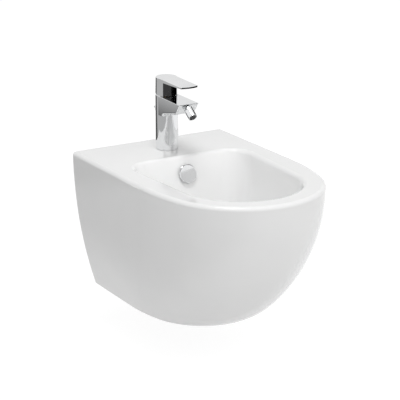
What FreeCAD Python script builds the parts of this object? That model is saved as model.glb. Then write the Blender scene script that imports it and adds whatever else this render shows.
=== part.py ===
import FreeCAD, Part
import math
import os

# Wall-hung bidet with a single-lever mixer and a pop-up waste, in millimetres.
# The origin lies on the wall plane, midway between the two wall fixings.
# +Z is up, the wall is the plane y = 0 and the bowl stands out towards -Y.
# "Reach" is a distance from the wall, "level" is a height above the rim (so mostly negative).

# Ceramic body
BODY_DEPTH = 540.0
BODY_WIDTH = 371.0
BODY_HEIGHT = 306.0
FOOT_DEPTH = 355.0
FOOT_WIDTH = 278.0
NOSE_SHARE = 0.928
SHOULDER_SHARE = 2.51
SIDE_BOW_SHARE = 108.0
SHELL = 12.0
DECK = 20.0
REAR_WALL = 16.0
RIM_EDGE = 8.0
LUTE_LEVEL = -22.0
SERVICE_WIDTH = 196.0
SERVICE_DEPTH = 316.0
SERVICE_CORNER = 30.0
REAR_GATE_WIDTH = 126.0
REAR_GATE_HEIGHT = 140.0
REAR_GATE_CORNER = 18.0

# Bowl
BOWL_REAR = 148.0
SIDE_RIM = 50.5
FRONT_RIM = 45.0
BOWL_NOSE_RADIUS = 125.0
BOWL_CORNER = 46.0
BOWL_DEPTH = 160.0
BOWL_FLOOR = 33.0
BOWL_FLOOR_NOSE = 32.0
BOWL_EDGE = 9.0

# Wall fixings
FIXING_DROP = 80.0
FIXING_SPACING = 180.0
FIXING_BORE = 13.0
SLEEVE_WALL = 3.8
SLEEVE_FLANGE = 36.0
SLEEVE_FLANGE_THICK = 3.0
WALL_WASHER = 34.0
WALL_WASHER_THICK = 2.5
WALL_NUT_FLATS = 19.0
WALL_NUT_HEIGHT = 10.0

# Mixer body and spout
TAP_REACH = 78.0
TAP_HOLE = 35.0
COLUMN_BASE = 48.0
COLUMN_NECK = 47.2
COLUMN_HEIGHT = 118.0
COLUMN_WALL = 5.0
COLUMN_FOOT_EDGE = 1.5
PLINTH_HEIGHT = 28.0
SPOUT_WIDTH = 46.4
SPOUT_REACH = 93.5
SPOUT_FALL = 2.1
SPOUT_FACE = 29.0
SPOUT_BELLY_SLOPE = 12.0
SPOUT_BLEND = 5.0
SPOUT_EDGE = 5.0
SPOUT_CRISP = 0.6
GASKET_WIDTH = 3.2
GASKET_THICK = 1.5
INLET_SPACING = 17.0
INLET_BORE = 10.0
INLET_DEPTH = 14.0
WATERWAY = 7.0

# Swivelling nozzle
NOZZLE_DROP = 36.0
NOZZLE_SINK = 10.5
BALL_RADIUS = 6.0
BALL_STANDOFF = 7.0
BALL_BORE = 2.5
NECK_RADIUS = 3.4
SHANK_RADIUS = 4.0
SHANK_LENGTH = 6.0
NOZZLE_RADIUS = 9.6
NOZZLE_LENGTH = 24.0
NOZZLE_BACK = 3.5
NOZZLE_WALL = 1.8
NOZZLE_EDGE = 1.3
GLAND_RADIUS = 7.9
GLAND_LENGTH = 4.5
SEAT_RING = 5.5
INSERT_THICK = 6.0
INSERT_SINK = 0.8
INSERT_HOLE = 2.2
INSERT_HOLES = 6

# Lever cartridge
POCKET_RADIUS = 17.6
POCKET_FLOOR = 73.5
SEAL_THICK = 1.5
CARTRIDGE_BASE = 4.0
CARTRIDGE_RADIUS = 17.4
CARTRIDGE_WALL = 1.8
CARTRIDGE_HEIGHT = 24.0
CARTRIDGE_LIP = 2.0
DISC_RADIUS = 13.0
DISC_THICK = 4.0
SLIDER_RADIUS = 10.0
SLIDER_THICK = 6.4
SLIDER_FLOOR = 2.1
PORT_RADIUS = 2.6
PORT_CIRCLE = 7.6
CARRIER_NECK = 11.3
CARRIER_RISE = 5.0
STEM_SIZE = 8.0
STEM_BALL = 2.8
STEM_FINGER = 2.2
STEM_RISE = 19.0
STEM_PIN = 3.0
PIVOT_LEVEL = 97.5
CARTRIDGE_NUT = 7.0
NUT_SLOT = 5.0
LEVER_TILT = 18.0

# Lever
LEVER_GAP = 1.3
LEVER_TOP = 156.5
LEVER_FALL = 2.6
LEVER_REACH = 100.0
LEVER_TIP_BOW = 5.0
LEVER_WIDTH = 42.0
LEVER_TIP_WIDTH = 41.0
LEVER_CORNER = 3.0
HUB_CROWN = 45.6
LEVER_TIP_THICK = 3.4
LEVER_ROOT_THICK = 8.0
LEVER_WALL = 4.2
LEVER_EDGE = 0.8
HUB_ROOF = 26.0
GRUB_RADIUS = 2.5
GRUB_LENGTH = 9.0
CAP_RADIUS = 3.6
CAP_THICK = 2.4

# Mixer fixing below the deck
STUD_RADIUS = 4.0
STUD_OFFSET = 12.8
STUD_BITE = 12.0
CLAMP_RADIUS = 24.0
CLAMP_MOUTH = 30.0
CLAMP_MARGIN = 3.0
CLAMP_GASKET = 2.0
CLAMP_PLATE = 2.5
FIXING_NUT_FLATS = 13.0
FIXING_NUT_HEIGHT = 10.5
STUD_TAIL = 5.0

# Lift rod and its strap
ROD_RADIUS = 2.5
ROD_OFFSET = 12.5
ROD_TILT = 22.0
ROD_TRAVEL = 32.0
GUIDE_RADIUS = 4.0
GUIDE_LENGTH = 17.0
KNOB_RADIUS = 5.0
KNOB_LENGTH = 9.0
KNOB_WAIST = 3.2
KNOB_FOOT = 3.8
KNOB_BAND = 2.0
KNOB_LEVEL = 76.0
STRAP_WIDTH = 15.0
STRAP_THICK = 2.0
STRAP_HOLE = 9.2
STRAP_PITCH = 13.0
STRAP_HOLES = 5
STRAP_BLOCK = 13.0
STRAP_BLOCK_DEPTH = 11.0
STRAP_SCREW_RADIUS = 2.5
STRAP_SCREW_HEAD = 5.0

# Pop-up waste
WASTE_REACH = 262.0
WASTE_HOLE = 46.0
WASTE_BOSS_DEPTH = 28.0
WASTE_BOSS_WALL = 22.0
WASTE_RECESS = 2.0
FLANGE_RADIUS = 31.5
FLANGE_THICK = 3.0
WASTE_TUBE_RADIUS = 20.9
WASTE_BORE = 37.0
WASTE_TUBE_LENGTH = 62.0
UPPER_SEAL = 1.5
LOWER_SEAL = 5.0
BACKNUT_HEIGHT = 9.0
BACKNUT_FLATS = 56.0
CUP_WALL = 4.0
CUP_LENGTH = 17.0
CHAMBER_LENGTH = 26.0
CHAMBER_WALL = 4.5
TAIL_RADIUS = 16.0
TAIL_WALL = 2.0
TAIL_LENGTH = 36.0
TAIL_CONE = 8.0
SLOT_WIDTH = 14.0
PLUG_RADIUS = 25.0
PLUG_THICK = 4.5
PLUG_NECK = 14.5
PLUG_SEAL = 1.6
PLUG_STEM = 4.0
PLUG_FIN = 2.0
PLUG_FIN_LENGTH = 34.0
PLUG_GAP = 0.4

# Ball lever below the plug
LEVER_BALL = 6.6
PIVOT_ARM = 29.0
PIVOT_DROP = 72.0
STRAP_DROP = 14.0
INNER_OVERRUN = 4.0
OUTER_OVERRUN = 16.0
SOCKET_OUTER = 11.0
SWING_RADIUS = 5.0
BALL_HOLD = 4.6
SEAT_LENGTH = 4.4
CAP_NUT_RADIUS = 14.0
CAP_NUT_LAP = 7.0
CAP_NUT_PLATE = 4.0

# Overflow
OVERFLOW_LEVEL = -37.0
OVERFLOW_HOLE = 22.0
OVERFLOW_COVER = 40.0
OVERFLOW_COVER_THICK = 3.0
OVERFLOW_STANDOFF = 5.0
OVERFLOW_CLIP_WALL = 1.6
OVERFLOW_CLIP_SLOT = 9.0
DUCT_WIDTH = 34.0
DUCT_THICK = 13.0
DUCT_WALL = 7.0
DUCT_BEND = 55.0
DUCT_HEAD = 14.0

# Clearances
FIT = 0.05
LOOSE = 0.3
TOUCH = 0.01

# How the outlines run in from rim to foot: (1 - share ** first) ** (1 / second)
BODY_SIDE_LAW = (2.1, 1.0)
BODY_FRONT_LAW = (2.0, 1.15)
BOWL_REAR_LAW = (1.1, 1.35)
BOWL_WALL_LAW = (2.4, 1.7)
BODY_SHARES = (0.0, 0.2, 0.4, 0.58, 0.74, 0.87, 0.96, 1.0)
BOWL_SHARES = (0.0, 0.25, 0.5, 0.7, 0.85, 0.95, 1.0)

UP = FreeCAD.Vector(0, 0, 1)
DOWN = FreeCAD.Vector(0, 0, -1)
ACROSS = FreeCAD.Vector(1, 0, 0)
TO_WALL = FreeCAD.Vector(0, 1, 0)
FAR = 1000.0


# Shapes used all over

def spot(x, reach, level):
    """A point given by its distance from the wall and its height above the rim."""
    return FreeCAD.Vector(x, -reach, FIXING_DROP + level)


def rod(radius, length, start, axis):
    return Part.makeCylinder(radius, length, start, axis)


def tube(outer, inner, length, start, axis):
    return rod(outer, length, start, axis).cut(rod(inner, length, start, axis))


def placed(shape, start, axis):
    """Move a shape built on the Z axis so that it stands on start, along axis."""
    move = FreeCAD.Placement(start, FreeCAD.Rotation(UP, axis))
    shape.Placement = move.multiply(shape.Placement)
    return shape


def turned(outline, start, axis):
    """Revolve a closed outline of (radius, height) points about the axis through start."""
    points = [FreeCAD.Vector(radius, 0, height) for radius, height in outline]
    face = Part.Face(Part.makePolygon(points + points[:1]))
    return placed(face.revolve(FreeCAD.Vector(0, 0, 0), UP, 360), start, axis)


def hexagon(flats, length, start, axis):
    """A hexagonal bar with one flat facing the wall."""
    corner = flats / 2 / math.cos(math.pi / 6)
    points = []
    for step in range(7):
        angle = step * math.pi / 3
        points.append(FreeCAD.Vector(corner * math.cos(angle), corner * math.sin(angle), 0))
    bar = Part.Face(Part.makePolygon(points)).extrude(UP * length)
    return placed(bar, start, axis)


def block(width, reach_from, reach_to, level_from, level_to):
    """A box centred on x = 0, between two reaches and two levels."""
    corner = spot(-width / 2, reach_to, level_from)
    return Part.makeBox(width, reach_to - reach_from, level_to - level_from, corner)


def rounded_block(width, reach_from, reach_to, level_from, level_to, radius):
    """The same box with its four upright edges rounded."""
    box = block(width, reach_from, reach_to, level_from, level_to)
    upright = [edge for edge in box.Edges if abs(edge.tangentAt(edge.FirstParameter).z) > 0.9]
    return box.makeFillet(radius, upright)


def edges_at_level(shape, level):
    """The edges of a shape that lie flat at one level."""
    height = FIXING_DROP + level
    flat = []
    for edge in shape.Edges:
        box = edge.BoundBox
        if abs(box.ZMin - height) < TOUCH and abs(box.ZMax - height) < TOUCH:
            flat.append(edge)
    return flat


def standing(share, law):
    """How far a wall still stands out at a share of its depth: 1 at the rim, 0 at the foot."""
    return (1 - share ** law[0]) ** (1 / law[1])


def between(foot, rim, share, law):
    return foot + (rim - foot) * standing(share, law)


# Ceramic body

def body_outline(half_width, front, inset, level):
    """Nearly straight sides that leave the wall square, easing shoulders and a round nose.

    All three are arcs that touch, so an inset outline runs parallel to the outer one.
    """
    nose = NOSE_SHARE * half_width
    shoulder = SHOULDER_SHARE * half_width
    bow = SIDE_BOW_SHARE * half_width
    nose_reach = front - nose
    bow_x = half_width - bow
    span = math.hypot(bow_x, nose_reach)
    along = ((shoulder - nose) ** 2 - (bow - shoulder) ** 2 + span ** 2) / (2 * span)
    off = math.sqrt((shoulder - nose) ** 2 - along ** 2)
    shoulder_x = (bow_x * along + nose_reach * off) / span
    shoulder_reach = nose_reach + (bow_x * off - nose_reach * along) / span

    def on_arc(centre_x, centre_reach, radius, angle):
        out = radius - inset
        return centre_x + out * math.cos(angle), centre_reach + out * math.sin(angle)

    rear = -SHELL
    leave = math.asin(rear / (bow - inset))
    ease = math.atan2(shoulder_reach, shoulder_x - bow_x)
    close = math.atan2(nose_reach - shoulder_reach, -shoulder_x)
    corners = [
        on_arc(bow_x, 0, bow, leave),
        on_arc(bow_x, 0, bow, (leave + ease) / 2),
        on_arc(bow_x, 0, bow, ease),
        on_arc(shoulder_x, shoulder_reach, shoulder, (ease + close) / 2),
        on_arc(shoulder_x, shoulder_reach, shoulder, close),
    ]
    right = [spot(x, reach, level) for x, reach in corners]
    left = [spot(-x, reach, level) for x, reach in corners]
    return Part.Wire([
        Part.LineSegment(left[0], right[0]).toShape(),
        Part.Arc(*right[0:3]).toShape(),
        Part.Arc(*right[2:5]).toShape(),
        Part.Arc(right[4], spot(0, front - inset, level), left[4]).toShape(),
        Part.Arc(left[4], left[3], left[2]).toShape(),
        Part.Arc(left[2], left[1], left[0]).toShape(),
    ])


def body_loft(inset, top, bottom):
    """The body's outside, or its hollow when inset by the thickness of the shell."""
    wires = []
    for share in BODY_SHARES:
        half_width = between(FOOT_WIDTH / 2, BODY_WIDTH / 2, share, BODY_SIDE_LAW)
        front = between(FOOT_DEPTH, BODY_DEPTH, share, BODY_FRONT_LAW)
        wires.append(body_outline(half_width, front, inset, top + (bottom - top) * share))
    return Part.makeLoft(wires, True, False)


def behind(reach):
    """Everything between a reach and the wall side, as a cutting block."""
    return block(FAR, reach - FAR, reach, -FAR, FAR)


def bowl_outline(rear, half_width, front, nose, corner, level):
    """A straight back with round corners, sides that run in a little, and a round nose."""
    corner_x = half_width - corner
    corner_reach = rear + corner
    nose_reach = front - nose
    run_x = -corner_x
    run = nose_reach - corner_reach
    span = math.hypot(run_x, run)
    lean = (corner - nose) / span
    flat = math.sqrt(1 - lean ** 2)
    out_x = (run_x * lean + run * flat) / span
    out = (run * lean - run_x * flat) / span
    mid_x = out_x / 2
    mid = (out - 1) / 2
    mid_size = math.hypot(mid_x, mid)

    def half(side):
        start = spot(side * corner_x, rear, level)
        bend_x = side * (corner_x + corner * mid_x / mid_size)
        bend = spot(bend_x, corner_reach + corner * mid / mid_size, level)
        turn = spot(side * (corner_x + corner * out_x), corner_reach + corner * out, level)
        end = spot(side * nose * out_x, nose_reach + nose * out, level)
        return start, bend, turn, end

    right = half(1)
    left = half(-1)
    edges = [
        Part.LineSegment(left[0], right[0]).toShape(),
        Part.Arc(right[0], right[1], right[2]).toShape(),
        Part.LineSegment(right[2], right[3]).toShape(),
        Part.Arc(right[3], spot(0, front, level), left[3]).toShape(),
        Part.LineSegment(left[3], left[2]).toShape(),
        Part.Arc(left[2], left[1], left[0]).toShape(),
    ]
    return Part.Wire(edges)


def bowl_rear(share):
    return between(WASTE_REACH - BOWL_FLOOR, BOWL_REAR, share, BOWL_REAR_LAW)


def bowl_loft(grown, top, bottom):
    """The bowl's inside, or its outer skin when grown by the thickness of the shell."""
    wires = []
    for share in BOWL_SHARES:
        half_width = between(BOWL_FLOOR, BODY_WIDTH / 2 - SIDE_RIM, share, BOWL_WALL_LAW)
        front = between(WASTE_REACH + BOWL_FLOOR, BODY_DEPTH - FRONT_RIM, share, BOWL_WALL_LAW)
        nose = between(BOWL_FLOOR_NOSE, BOWL_NOSE_RADIUS, share, BOWL_WALL_LAW)
        corner = between(BOWL_FLOOR / 2, BOWL_CORNER, share, BOWL_WALL_LAW)
        wires.append(bowl_outline(bowl_rear(share) - grown, half_width + grown, front + grown,
                                  nose + grown, corner + grown, top + (bottom - top) * share))
    return Part.makeLoft(wires, True, False)


def overflow_place():
    """Where the overflow leaves the bowl's rear wall, and the way that wall faces there."""
    share = -OVERFLOW_LEVEL / BOWL_DEPTH
    step = OVERFLOW_HOLE / 2 / BOWL_DEPTH
    lean = (bowl_rear(share + step) - bowl_rear(share - step)) / OVERFLOW_HOLE
    face = FreeCAD.Vector(0, -1, lean).normalize()
    return spot(0, bowl_rear(share), OVERFLOW_LEVEL), face


def duct_path():
    """The overflow duct runs down behind the bowl and bends forward into the waste hole."""
    mouth, face = overflow_place()
    start = mouth - face * (SHELL + DUCT_THICK / 2)
    fall = FreeCAD.Vector(0, -face.z, face.y)
    floor = FIXING_DROP - BOWL_DEPTH - WASTE_BOSS_DEPTH / 2
    turn = math.acos(-fall.y)
    drop = start.z - floor - DUCT_BEND * (1 - math.cos(turn))
    bend_start = start + fall * (drop / -fall.z)
    centre = bend_start + FreeCAD.Vector(0, fall.z, -fall.y) * DUCT_BEND
    bend_end = FreeCAD.Vector(0, centre.y, floor)
    half = turn / 2
    bend_middle = centre + FreeCAD.Vector(0, math.sin(half), -math.cos(half)) * DUCT_BEND
    end = FreeCAD.Vector(0, -WASTE_REACH, floor)
    top = start - fall * DUCT_HEAD
    return Part.Wire([
        Part.LineSegment(top, bend_start).toShape(),
        Part.Arc(bend_start, bend_middle, bend_end).toShape(),
        Part.LineSegment(bend_end, end).toShape(),
    ]), fall


def duct(width, thick):
    path, fall = duct_path()
    start = path.Vertexes[0].Point
    side = ACROSS * (width / 2)
    deep = fall.cross(ACROSS).normalize() * (thick / 2)
    corners = [start - side - deep, start + side - deep, start + side + deep, start - side + deep]
    section = Part.makePolygon(corners + corners[:1])
    return path.makePipeShell([section], True, True)


def ceramic_body():
    outside = body_loft(0, 0, -BODY_HEIGHT).cut(behind(0))
    top_edges = [edge for edge in edges_at_level(outside, 0) if edge.BoundBox.YMin < -RIM_EDGE]
    outside = outside.makeFillet(RIM_EDGE, top_edges)

    waste_top = spot(0, WASTE_REACH, -BOWL_DEPTH)
    boss_radius = WASTE_HOLE / 2 + WASTE_BOSS_WALL
    hollow = body_loft(SHELL, -DECK, SHELL - BODY_HEIGHT).cut(behind(REAR_WALL))
    hollow = hollow.cut(bowl_loft(SHELL, 0, -BOWL_DEPTH - SHELL))
    hollow = hollow.cut(rod(boss_radius, WASTE_BOSS_DEPTH, waste_top, DOWN))
    hollow = hollow.cut(duct(DUCT_WIDTH + 2 * DUCT_WALL, DUCT_THICK + 2 * DUCT_WALL))

    body = outside.cut(hollow).cut(bowl_loft(0, 0, -BOWL_DEPTH))
    body = body.makeFillet(BOWL_EDGE, bowl_rim(body))
    service_nose = SERVICE_DEPTH - SERVICE_WIDTH / 2
    service = rounded_block(SERVICE_WIDTH, REAR_WALL, service_nose + SERVICE_CORNER, -BODY_HEIGHT - SHELL,
                            2 * SHELL - BODY_HEIGHT, SERVICE_CORNER)
    service_front = rod(SERVICE_WIDTH / 2, 3 * SHELL, spot(0, service_nose, -BODY_HEIGHT - SHELL), UP)
    gate = Part.makeBox(REAR_GATE_WIDTH, 3 * REAR_WALL, REAR_GATE_HEIGHT + SHELL,
                        spot(-REAR_GATE_WIDTH / 2, 2 * REAR_WALL, -BODY_HEIGHT - SHELL))
    gate_top = FIXING_DROP - BODY_HEIGHT + REAR_GATE_HEIGHT
    gate_corners = [edge for edge in gate.Edges
                    if edge.BoundBox.XLength < TOUCH and edge.BoundBox.ZMin > gate_top - TOUCH]
    gate = gate.makeFillet(REAR_GATE_CORNER, gate_corners)
    mouth, face = overflow_place()
    cuts = [
        service,
        service_front,
        gate,
        duct(DUCT_WIDTH, DUCT_THICK),
        rod(OVERFLOW_HOLE / 2, 2 * SHELL + DUCT_THICK / 2, mouth + face * SHELL, -face),
        rod(TAP_HOLE / 2, 3 * DECK, spot(0, TAP_REACH, DECK), DOWN),
        rod(WASTE_HOLE / 2, 2 * WASTE_BOSS_DEPTH, waste_top, DOWN),
        rod(FLANGE_RADIUS + LOOSE, 2 * WASTE_RECESS, spot(0, WASTE_REACH, WASTE_RECESS - BOWL_DEPTH)
            - UP * 2 * WASTE_RECESS, UP),
    ]
    for side in (-1, 1):
        start = FreeCAD.Vector(side * FIXING_SPACING / 2, -2 * REAR_WALL, 0)
        cuts.append(rod(FIXING_BORE / 2 + SLEEVE_WALL + LOOSE, 3 * REAR_WALL, start, TO_WALL))
    for cut in cuts:
        body = body.cut(cut)
    return body


def ceramic_castings():
    """The rim, the bowl and the outer shell are cast apart, then luted together and fired as one."""
    body = ceramic_body()
    upper = block(FAR, -FAR, FAR, LUTE_LEVEL, FAR)
    lower = body.cut(upper).Solids
    lower.sort(key=lambda solid: solid.BoundBox.YMax)
    return body.common(upper), lower[0], lower[-1]


def bowl_rim(body):
    """The edges at rim level that go round the bowl."""
    rim = []
    for edge in edges_at_level(body, 0):
        box = edge.BoundBox
        inside = box.XMax < BODY_WIDTH / 2 - SIDE_RIM / 2 and box.XMin > SIDE_RIM / 2 - BODY_WIDTH / 2
        if inside and box.YMax < -TAP_REACH and box.YMin > FRONT_RIM / 2 - BODY_DEPTH:
            rim.append(edge)
    return rim


# Wall fixings

def both_fixings(make):
    """One copy of a piece on each wall fixing."""
    offsets = (-FIXING_SPACING / 2, FIXING_SPACING / 2)
    return Part.makeCompound([make(FreeCAD.Vector(offset, 0, 0)) for offset in offsets])


def wall_sleeve(centre):
    bore = FIXING_BORE / 2
    inside = centre - TO_WALL * REAR_WALL
    bush = rod(bore + SLEEVE_WALL, REAR_WALL, inside, TO_WALL)
    flange = rod(SLEEVE_FLANGE / 2, SLEEVE_FLANGE_THICK, inside, -TO_WALL)
    through = rod(bore, 2 * REAR_WALL + SLEEVE_FLANGE_THICK, centre, -TO_WALL)
    return bush.fuse(flange).cut(through).removeSplitter()


def wall_washer(centre):
    start = centre - TO_WALL * (REAR_WALL + SLEEVE_FLANGE_THICK)
    return tube(WALL_WASHER / 2, FIXING_BORE / 2, WALL_WASHER_THICK, start, -TO_WALL)


def wall_nut(centre):
    start = centre - TO_WALL * (REAR_WALL + SLEEVE_FLANGE_THICK + WALL_WASHER_THICK)
    nut = hexagon(WALL_NUT_FLATS, WALL_NUT_HEIGHT, start, -TO_WALL)
    return nut.cut(rod(FIXING_BORE / 2, WALL_NUT_HEIGHT, start, -TO_WALL))


# Overflow cover

def overflow_cover():
    mouth, face = overflow_place()
    back = mouth + face * OVERFLOW_STANDOFF
    disc = rod(OVERFLOW_COVER / 2, OVERFLOW_COVER_THICK, back, face)
    front = [edge for edge in disc.Edges
             if edge.Closed and (edge.CenterOfMass - back).dot(face) > OVERFLOW_COVER_THICK / 2]
    disc = disc.makeFillet(OVERFLOW_COVER_THICK / 2, front)
    clip_radius = OVERFLOW_HOLE / 2 - LOOSE
    clip_length = OVERFLOW_STANDOFF + SHELL
    clips = tube(clip_radius, clip_radius - OVERFLOW_CLIP_WALL, clip_length, back, -face)
    span = 2 * OVERFLOW_HOLE
    for turn in (0, 90):
        gap = Part.makeBox(span, OVERFLOW_CLIP_SLOT, clip_length,
                           FreeCAD.Vector(-span / 2, -OVERFLOW_CLIP_SLOT / 2, 0))
        gap.rotate(FreeCAD.Vector(0, 0, 0), UP, turn)
        clips = clips.cut(placed(gap, back, -face))
    return disc.fuse(clips).removeSplitter()


# Mixer body and spout

def tap(x, forward, level):
    """A point given from the mixer's axis, forward being away from the wall."""
    return spot(x, TAP_REACH + forward, level)


def across(outline, width):
    """Extrude a closed outline of (forward, level) points or arcs, centred on the mixer's axis."""
    edges = []
    for piece in outline:
        points = [tap(-width / 2, forward, level) for forward, level in piece]
        curve = Part.Arc(*points) if len(points) == 3 else Part.LineSegment(*points)
        edges.append(curve.toShape())
    return Part.Face(Part.Wire(edges)).extrude(ACROSS * width)


def polygon_sides(points):
    """The straight sides of a closed polygon."""
    return [(points[index - 1], points[index]) for index in range(len(points))]


def nozzle_axis():
    """The way the nozzle points at rest."""
    drop = math.radians(NOZZLE_DROP)
    return FreeCAD.Vector(0, -math.cos(drop), -math.sin(drop))


def spout_face():
    """The upper and lower ends of the spout's slanting face, as (forward, level)."""
    drop = math.radians(NOZZLE_DROP)
    upper = (SPOUT_REACH, COLUMN_HEIGHT - SPOUT_FALL)
    lower = (upper[0] - SPOUT_FACE * math.sin(drop), upper[1] - SPOUT_FACE * math.cos(drop))
    return upper, lower


def nozzle_base():
    """The point of the slanting face that the nozzle stands on."""
    upper, lower = spout_face()
    share = NOZZLE_SINK / SPOUT_FACE
    return tap(0, upper[0] + (lower[0] - upper[0]) * share, upper[1] + (lower[1] - upper[1]) * share)


def nozzle_centre():
    """The middle of the ball that the nozzle swings on."""
    return nozzle_base() + nozzle_axis() * BALL_STANDOFF


def spout():
    upper, lower = spout_face()
    slope = math.radians(SPOUT_BELLY_SLOPE)
    root = COLUMN_NECK / 2
    blend_forward = root + SPOUT_BLEND
    meet = blend_forward - SPOUT_BLEND * math.sin(slope)
    meet_level = lower[1] - (lower[0] - meet) * math.tan(slope)
    blend_level = meet_level - SPOUT_BLEND * math.cos(slope)
    half = (math.pi / 2 - slope) / 2
    middle = (blend_forward - SPOUT_BLEND * math.cos(half), blend_level + SPOUT_BLEND * math.sin(half))
    top = (0, COLUMN_HEIGHT)
    heel = (0, blend_level)
    toe = (root, blend_level)
    solid = across([
        (top, upper),
        (upper, lower),
        (lower, (meet, meet_level)),
        ((meet, meet_level), middle, toe),
        (toe, heel),
        (heel, top),
    ], SPOUT_WIDTH)
    belly = []
    for edge in solid.Edges:
        place = edge.CenterOfMass
        lengthwise = edge.BoundBox.XLength < TOUCH and place.y < -TAP_REACH - root
        if lengthwise and place.z < FIXING_DROP + lower[1]:
            belly.append(edge)
    solid = solid.makeFillet(SPOUT_EDGE, belly)
    return solid.makeFillet(SPOUT_CRISP, spout_crisp_edges(solid, lower[1]))


def spout_crisp_edges(solid, level):
    """The upper edges of the spout that only lose their sharpness."""
    return [edge for edge in solid.Edges
            if edge.BoundBox.ZMin > FIXING_DROP + level + SPOUT_EDGE
            and edge.CenterOfMass.y < -TAP_REACH - COLUMN_NECK / 2]


def rod_axis():
    """The lift rod leans back towards the wall as it rises."""
    tilt = math.radians(ROD_TILT)
    return FreeCAD.Vector(0, math.sin(tilt), math.cos(tilt))


def rod_point(level):
    """The point of the lift rod's axis at a level."""
    return tap(0, -ROD_OFFSET, 0) + rod_axis() * (level / rod_axis().z)


def plinth_radius():
    return COLUMN_BASE / 2 - COLUMN_WALL


def guide_start():
    """The lower end of the rod guide, where the rod enters the column's wall."""
    return rod_point((plinth_radius() - ROD_OFFSET) / math.tan(math.radians(ROD_TILT)))


def mixer_body():
    column = Part.makeCone(COLUMN_BASE / 2, COLUMN_NECK / 2, COLUMN_HEIGHT, tap(0, 0, 0), UP)
    column = column.makeFillet(COLUMN_FOOT_EDGE, edges_at_level(column, 0))
    pocket = tap(0, 0, POCKET_FLOOR)
    start = pocket + UP * (CARTRIDGE_HEIGHT / 2) - TO_WALL * (POCKET_RADIUS - WATERWAY)
    socket = nozzle_base() - nozzle_axis() * SHANK_LENGTH
    passage = socket - start
    cuts = [
        rod(POCKET_RADIUS, COLUMN_HEIGHT, pocket, UP),
        rod(plinth_radius(), PLINTH_HEIGHT, tap(0, 0, 0), UP),
        rod(plinth_radius() + GASKET_WIDTH, GASKET_THICK, tap(0, 0, 0), UP),
        rod(STUD_RADIUS + FIT, PLINTH_HEIGHT + STUD_BITE, tap(0, STUD_OFFSET, 0), UP),
        rod(GUIDE_RADIUS + FIT, COLUMN_BASE, guide_start() - rod_axis() * GUIDE_LENGTH, rod_axis()),
        rod(WATERWAY / 2, passage.Length, start, passage),
        rod(SHANK_RADIUS + FIT, 2 * SHANK_LENGTH, socket, nozzle_axis()),
    ]
    for side in (-1, 1):
        inlet = tap(side * INLET_SPACING / 2, 0, PLINTH_HEIGHT)
        cuts.append(rod(INLET_BORE / 2, INLET_DEPTH, inlet, UP))
        cuts.append(rod(WATERWAY / 2, POCKET_FLOOR - PLINTH_HEIGHT, inlet, UP))
    body = column.fuse(spout())
    for cut in cuts:
        body = body.cut(cut)
    return body.removeSplitter()


def base_gasket():
    inner = plinth_radius()
    return tube(inner + GASKET_WIDTH, inner, GASKET_THICK, tap(0, 0, 0), UP)


# Mixer fixing below the deck

def horseshoe(top, thick):
    """A clamp plate round the stud, open towards the wall for the hoses and the lift rod."""
    plate = rod(CLAMP_RADIUS, thick, tap(0, 0, top), DOWN)
    front = STUD_OFFSET - STUD_RADIUS - CLAMP_MARGIN
    mouth = block(CLAMP_MOUTH, TAP_REACH - 2 * CLAMP_RADIUS, TAP_REACH + front, top - thick, top)
    hole = rod(STUD_RADIUS + LOOSE, thick, tap(0, STUD_OFFSET, top), DOWN)
    return plate.cut(mouth).cut(hole)


def clamp_gasket():
    return horseshoe(-DECK, CLAMP_GASKET)


def clamp_plate():
    return horseshoe(-DECK - CLAMP_GASKET, CLAMP_PLATE)


def fixing_nut():
    start = tap(0, STUD_OFFSET, -DECK - CLAMP_GASKET - CLAMP_PLATE)
    nut = hexagon(FIXING_NUT_FLATS, FIXING_NUT_HEIGHT, start, DOWN)
    return nut.cut(rod(STUD_RADIUS + FIT, FIXING_NUT_HEIGHT, start, DOWN))


def fixing_stud():
    below = DECK + CLAMP_GASKET + CLAMP_PLATE + FIXING_NUT_HEIGHT + STUD_TAIL
    length = PLINTH_HEIGHT + STUD_BITE + below
    return rod(STUD_RADIUS, length, tap(0, STUD_OFFSET, -below), UP)


# Cartridge

def port_holes(level, length):
    """Two inlets over the mixer's own and one outlet in front of them."""
    holes = []
    for turn in (0, 180, 270):
        angle = math.radians(turn)
        centre = tap(PORT_CIRCLE * math.cos(angle), -PORT_CIRCLE * math.sin(angle), level)
        holes.append(rod(PORT_RADIUS, length, centre, UP))
    return Part.makeCompound(holes)


def cartridge_seal():
    return rod(CARTRIDGE_RADIUS, SEAL_THICK, tap(0, 0, POCKET_FLOOR), UP).cut(
        port_holes(POCKET_FLOOR, SEAL_THICK))


BASE_LEVEL = POCKET_FLOOR + SEAL_THICK
DISC_LEVEL = BASE_LEVEL + CARTRIDGE_BASE
SLIDER_LEVEL = DISC_LEVEL + DISC_THICK + 2 * FIT
CARRIER_LEVEL = SLIDER_LEVEL + SLIDER_THICK + LOOSE
HOUSING_TOP = DISC_LEVEL + CARTRIDGE_HEIGHT
LEVER_LEVEL = COLUMN_HEIGHT + LEVER_GAP
STEM_BALL_LEVEL = SLIDER_LEVEL + SLIDER_FLOOR + LOOSE + STEM_BALL


def cartridge_base():
    return rod(CARTRIDGE_RADIUS, CARTRIDGE_BASE, tap(0, 0, BASE_LEVEL), UP).cut(
        port_holes(BASE_LEVEL, CARTRIDGE_BASE))


def fixed_disc():
    return rod(DISC_RADIUS, DISC_THICK, tap(0, 0, DISC_LEVEL), UP).cut(
        port_holes(DISC_LEVEL, DISC_THICK))


def moving_disc():
    disc = rod(SLIDER_RADIUS, SLIDER_THICK, tap(0, 0, SLIDER_LEVEL), UP)
    pocket = rod(STEM_BALL + LOOSE, SLIDER_THICK, tap(0, 0, SLIDER_LEVEL + SLIDER_FLOOR), UP)
    return disc.cut(pocket)


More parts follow.
